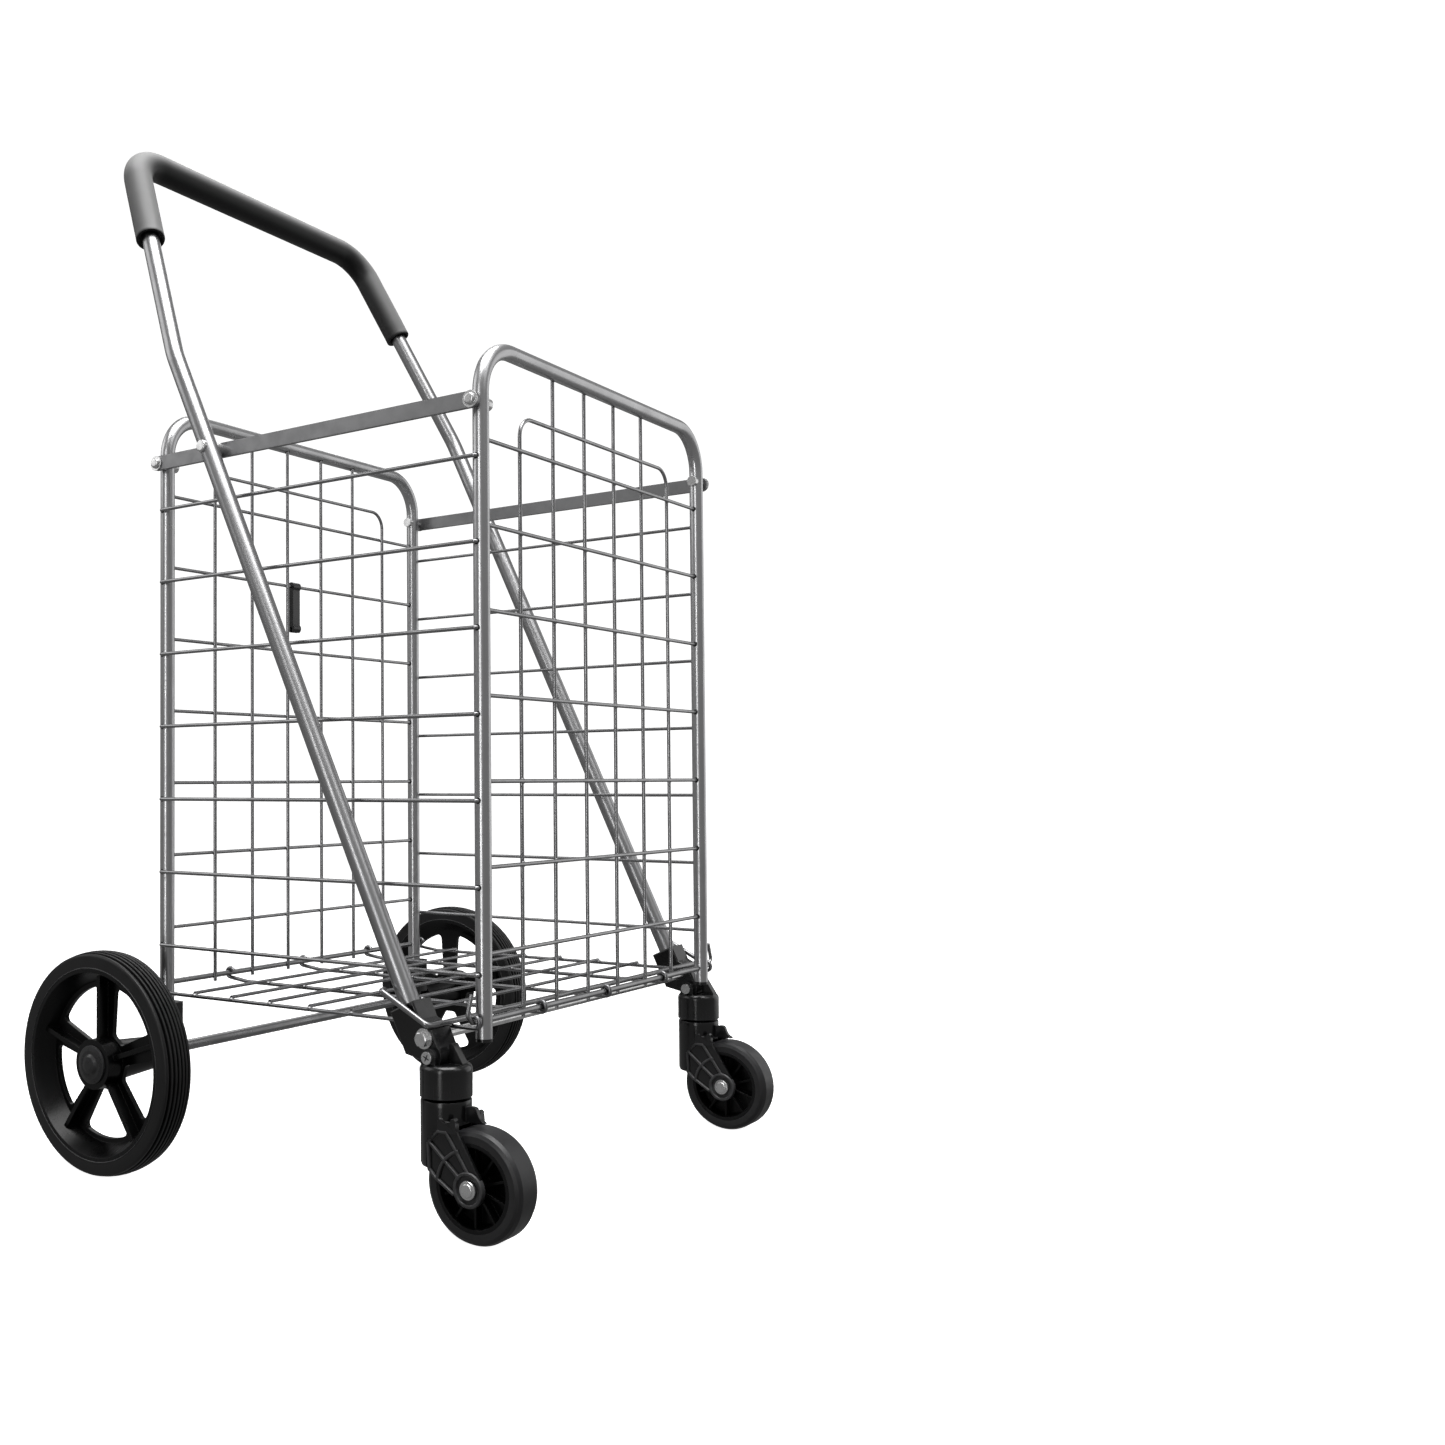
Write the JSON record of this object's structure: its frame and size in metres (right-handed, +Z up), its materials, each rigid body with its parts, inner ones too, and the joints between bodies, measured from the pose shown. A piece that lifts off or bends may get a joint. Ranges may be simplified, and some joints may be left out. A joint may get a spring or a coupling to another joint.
{
  "type": "folding shopping cart",
  "caption": "Folding wire shopping cart with a U handle, large rear wheels and swivel front casters; the basket folds flat against its rear panel.",
  "frame": {"origin": "on the ground under the middle of the cart's bounding box", "axes": "+Z up, +Y towards the person pushing (handle and large wheels), +X to the cart's left side as seen by that person walking towards -Y"},
  "size_m": [0.532, 0.496, 0.9331],
  "materials": {
    "tube": "silver lacquered steel tube",
    "bar": "silver lacquered flat steel",
    "rod": "zinc plated round steel",
    "wire": "zinc plated steel wire",
    "fastener": "bright zinc plated",
    "moulding": "black moulded nylon, semi-gloss",
    "rim": "black moulded polypropylene",
    "rear_tyre": "black grooved tyre",
    "caster_tyre": "smooth black rubber",
    "grip_foam": "dark grey foam rubber, matt"
  },
  "bodies": {
    "rear_frame": {"rear_hoop": "tube", "rear_panel": "wire", "rear_rod": "rod", "rear_axle": "rod", "axle_bracket_left": "moulding", "axle_bracket_right": "moulding", "bracket_screws": "fastener", "rear_bar_bolts": "fastener"},
    "top_bars": {"top_bar_left": "bar", "top_bar_right": "bar"},
    "front_frame": {"front_hoop": "tube", "front_panel": "wire", "front_rod": "rod", "front_plugs": "moulding", "front_bar_bolts": "fastener"},
    "floor_panel": {"floor_grid": "wire", "lock_wire": "rod"},
    "handle_frame": {"handle_tube": "tube", "grip": "grip_foam", "handle_rivets": "fastener", "cross_rod": "rod", "leg_socket_left": "moulding", "leg_socket_right": "moulding"},
    "fold_clip": {"fold_clip": "moulding"},
    "side_wires_1": {"side_wire_1_left": "wire", "side_wire_1_right": "wire"},
    "side_wires_2": {"side_wire_2_left": "wire", "side_wire_2_right": "wire"},
    "side_wires_3": {"side_wire_3_left": "wire", "side_wire_3_right": "wire"},
    "side_wires_4": {"side_wire_4_left": "wire", "side_wire_4_right": "wire"},
    "side_wires_5": {"side_wire_5_left": "wire", "side_wire_5_right": "wire"},
    "side_wires_6": {"side_wire_6_left": "wire", "side_wire_6_right": "wire"},
    "side_wires_7": {"side_wire_7_left": "wire", "side_wire_7_right": "wire"},
    "caster_mount_left": {"caster_cup_left": "moulding", "tilt_pin_left": "fastener"},
    "caster_fork_left": {"caster_fork_left": "moulding", "caster_stem_left": "fastener", "caster_axle_left": "fastener"},
    "caster_wheel_left": {"caster_rim_left": "rim", "caster_tyre_left": "caster_tyre"},
    "rear_wheel_left": {"rear_rim_left": "rim", "rear_tyre_left": "rear_tyre", "hub_cap_left": "moulding"},
    "caster_mount_right": {"caster_cup_right": "moulding", "tilt_pin_right": "fastener"},
    "caster_fork_right": {"caster_fork_right": "moulding", "caster_stem_right": "fastener", "caster_axle_right": "fastener"},
    "caster_wheel_right": {"caster_rim_right": "rim", "caster_tyre_right": "caster_tyre"},
    "rear_wheel_right": {"rear_rim_right": "rim", "rear_tyre_right": "rear_tyre", "hub_cap_right": "moulding"}
  },
  "joints": [
    {"name": "fold", "type": "hinge", "parent": "rear_frame", "child": "top_bars", "pos_m": [0, 0.154, 0.615], "axis": [1, 0, 0], "range_deg": [-84, 0]},
    {"name": "front_follow", "type": "hinge", "parent": "top_bars", "child": "front_frame", "pos_m": [0, -0.191, 0.615], "axis": [1, 0, 0], "range_deg": [0, 84.1]},
    {"name": "handle_follow", "type": "hinge", "parent": "top_bars", "child": "handle_frame", "pos_m": [0, 0.074, 0.615], "axis": [1, 0, 0], "range_deg": [0, 108.2]},
    {"name": "floor_follow", "type": "hinge", "parent": "rear_frame", "child": "floor_panel", "pos_m": [0, 0.154, 0.153], "axis": [1, 0, 0], "range_deg": [-84.1, 0]},
    {"name": "side_1_follow", "type": "hinge", "parent": "rear_frame", "child": "side_wires_1", "pos_m": [0, 0.154, 0.574], "axis": [1, 0, 0], "range_deg": [-84.1, 0]},
    {"name": "side_2_follow", "type": "hinge", "parent": "rear_frame", "child": "side_wires_2", "pos_m": [0, 0.154, 0.5095], "axis": [1, 0, 0], "range_deg": [-84.1, 0]},
    {"name": "side_3_follow", "type": "hinge", "parent": "rear_frame", "child": "side_wires_3", "pos_m": [0, 0.154, 0.445], "axis": [1, 0, 0], "range_deg": [-84.1, 0]},
    {"name": "side_4_follow", "type": "hinge", "parent": "rear_frame", "child": "side_wires_4", "pos_m": [0, 0.154, 0.3805], "axis": [1, 0, 0], "range_deg": [-84.1, 0]},
    {"name": "side_5_follow", "type": "hinge", "parent": "rear_frame", "child": "side_wires_5", "pos_m": [0, 0.154, 0.316], "axis": [1, 0, 0], "range_deg": [-84.1, 0]},
    {"name": "side_6_follow", "type": "hinge", "parent": "rear_frame", "child": "side_wires_6", "pos_m": [0, 0.154, 0.2515], "axis": [1, 0, 0], "range_deg": [-84.1, 0]},
    {"name": "side_7_follow", "type": "hinge", "parent": "rear_frame", "child": "side_wires_7", "pos_m": [0, 0.154, 0.187], "axis": [1, 0, 0], "range_deg": [-84.1, 0]},
    {"name": "tilt_left_follow", "type": "hinge", "parent": "handle_frame", "child": "caster_mount_left", "pos_m": [0.204, -0.17009, 0.12984], "axis": [1, 0, 0], "range_deg": [-24.2, 0]},
    {"name": "swivel_left", "type": "hinge", "parent": "caster_mount_left", "child": "caster_fork_left", "pos_m": [0.204, -0.175, 0.093], "axis": [0, 0, -1], "continuous": true},
    {"name": "caster_roll_left", "type": "hinge", "parent": "caster_fork_left", "child": "caster_wheel_left", "pos_m": [0.204, -0.207, 0.041], "axis": [1, 0, 0], "continuous": true},
    {"name": "rear_roll_left", "type": "hinge", "parent": "rear_frame", "child": "rear_wheel_left", "pos_m": [0.248, 0.154, 0.094], "axis": [1, 0, 0], "continuous": true},
    {"name": "tilt_right_follow", "type": "hinge", "parent": "handle_frame", "child": "caster_mount_right", "pos_m": [-0.204, -0.17009, 0.12984], "axis": [1, 0, 0], "range_deg": [-24.2, 0]},
    {"name": "swivel_right", "type": "hinge", "parent": "caster_mount_right", "child": "caster_fork_right", "pos_m": [-0.204, -0.175, 0.093], "axis": [0, 0, 1], "continuous": true},
    {"name": "caster_roll_right", "type": "hinge", "parent": "caster_fork_right", "child": "caster_wheel_right", "pos_m": [-0.204, -0.207, 0.041], "axis": [1, 0, 0], "continuous": true},
    {"name": "rear_roll_right", "type": "hinge", "parent": "rear_frame", "child": "rear_wheel_right", "pos_m": [-0.248, 0.154, 0.094], "axis": [1, 0, 0], "continuous": true},
    {"name": "clip_swing", "type": "hinge", "parent": "rear_frame", "child": "fold_clip", "pos_m": [-0.012, 0.154, 0.524], "axis": [-1, 0, 0], "range_deg": [0, 119.75]}
  ],
  "couplings": [
    {"joint": "front_follow", "follows": "fold", "ratio": -1},
    {"joint": "handle_follow", "follows": "fold", "ratio": -1.2869},
    {"joint": "floor_follow", "follows": "fold", "ratio": 1},
    {"joint": "side_1_follow", "follows": "fold", "ratio": 1},
    {"joint": "side_2_follow", "follows": "fold", "ratio": 1},
    {"joint": "side_3_follow", "follows": "fold", "ratio": 1},
    {"joint": "side_4_follow", "follows": "fold", "ratio": 1},
    {"joint": "side_5_follow", "follows": "fold", "ratio": 1},
    {"joint": "side_6_follow", "follows": "fold", "ratio": 1},
    {"joint": "side_7_follow", "follows": "fold", "ratio": 1},
    {"joint": "tilt_left_follow", "follows": "fold", "ratio": 0.28691},
    {"joint": "tilt_right_follow", "follows": "fold", "ratio": 0.28691}
  ]
}
